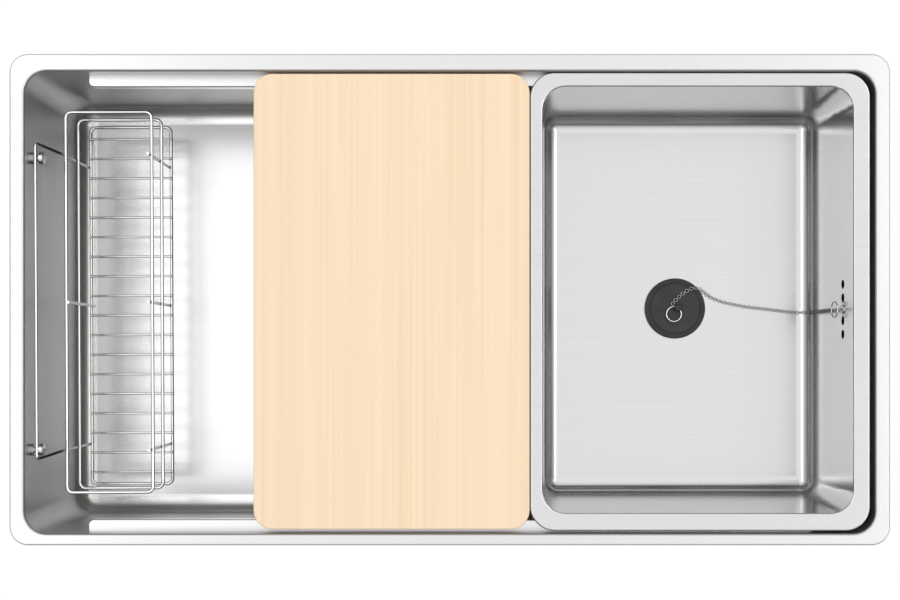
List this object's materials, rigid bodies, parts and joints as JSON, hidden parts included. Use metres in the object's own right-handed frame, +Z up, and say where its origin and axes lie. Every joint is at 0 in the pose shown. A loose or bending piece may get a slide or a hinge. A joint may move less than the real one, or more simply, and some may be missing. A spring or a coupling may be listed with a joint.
{
  "type": "workstation kitchen sink",
  "caption": "Large single-bowl steel kitchen sink with ledge rails carrying a sliding wooden board, a lift-out wash tub with plug and chain, a hung wire rack and a basket waste.",
  "frame": {"origin": "middle of the rim in plan, at the worktop surface, under the rim gasket", "axes": "+X to the user's right, +Y to the back, +Z up"},
  "size_m": [0.86, 0.48, 0.3265],
  "materials": {
    "bowl_steel": "satin, embossed micro pattern on rim and floor",
    "rail_steel": "fine brushed",
    "tub_steel": "hairline brushed",
    "wire_chrome": "polished",
    "fitting_steel": "satin",
    "zinc_steel": "dull zinc plate",
    "board_wood": "bare planed softwood",
    "black_rubber": "matt",
    "foam": "matt foam",
    "pad_rubber": "matt",
    "fibre": "matt fibre"
  },
  "bodies": {
    "sink": {"bowl_shell": "bowl_steel", "rail_back": "rail_steel", "rail_front": "rail_steel", "rim_gasket": "foam", "hook_studs": "wire_chrome", "stud_washers": "fitting_steel", "stud_nuts": "fitting_steel", "sound_pads": "pad_rubber", "fixing_brackets": "zinc_steel", "fixing_screws": "zinc_steel", "fixing_feet": "zinc_steel", "waste_cup": "fitting_steel", "waste_gasket": "black_rubber", "friction_ring": "fibre", "lock_nut": "zinc_steel", "tail_washer": "black_rubber", "tailpiece": "wire_chrome", "coupling_nut": "zinc_steel"},
    "strainer": {"basket": "fitting_steel", "basket_seal": "black_rubber", "basket_knob": "wire_chrome"},
    "board": {"cutting_board": "board_wood"},
    "tub": {"tub_shell": "tub_steel", "anchor_eye": "wire_chrome", "anchor_washer": "fitting_steel", "anchor_ring": "wire_chrome", "chain": "wire_chrome"},
    "stopper": {"plug": "black_rubber", "plug_post": "black_rubber"},
    "stopper_ring": {"plug_ring": "wire_chrome"},
    "rack": {"rack_top_hoop": "wire_chrome", "rack_mid_hoop": "wire_chrome", "rack_base_hoop": "wire_chrome", "rack_crossbars": "wire_chrome", "rack_uprights": "wire_chrome", "rack_hanger": "wire_chrome"}
  },
  "joints": [
    {"name": "board_slide", "type": "slide", "parent": "sink", "child": "board", "axis": [1, 0, 0], "range_m": [-0.105, 0]},
    {"name": "tub_lift", "type": "slide", "parent": "sink", "child": "tub", "axis": [0, 0, 1], "range_m": [0, 0.16]},
    {"name": "plug_lift", "type": "slide", "parent": "tub", "child": "stopper", "axis": [0, 0, 1], "range_m": [0, 0.06], "deforming": ["chain"]},
    {"name": "ring_hinge", "type": "hinge", "parent": "stopper", "child": "stopper_ring", "pos_m": [0.24195, -0.00345, -0.12709], "axis": [-0.8508, 0.5255, 0], "range_deg": [0, 85]},
    {"name": "rack_lift", "type": "slide", "parent": "sink", "child": "rack", "axis": [0, 0, 1], "range_m": [0, 0.17]},
    {"name": "basket_lift", "type": "slide", "parent": "sink", "child": "strainer", "axis": [0, 0, 1], "range_m": [0, 0.08]}
  ]
}
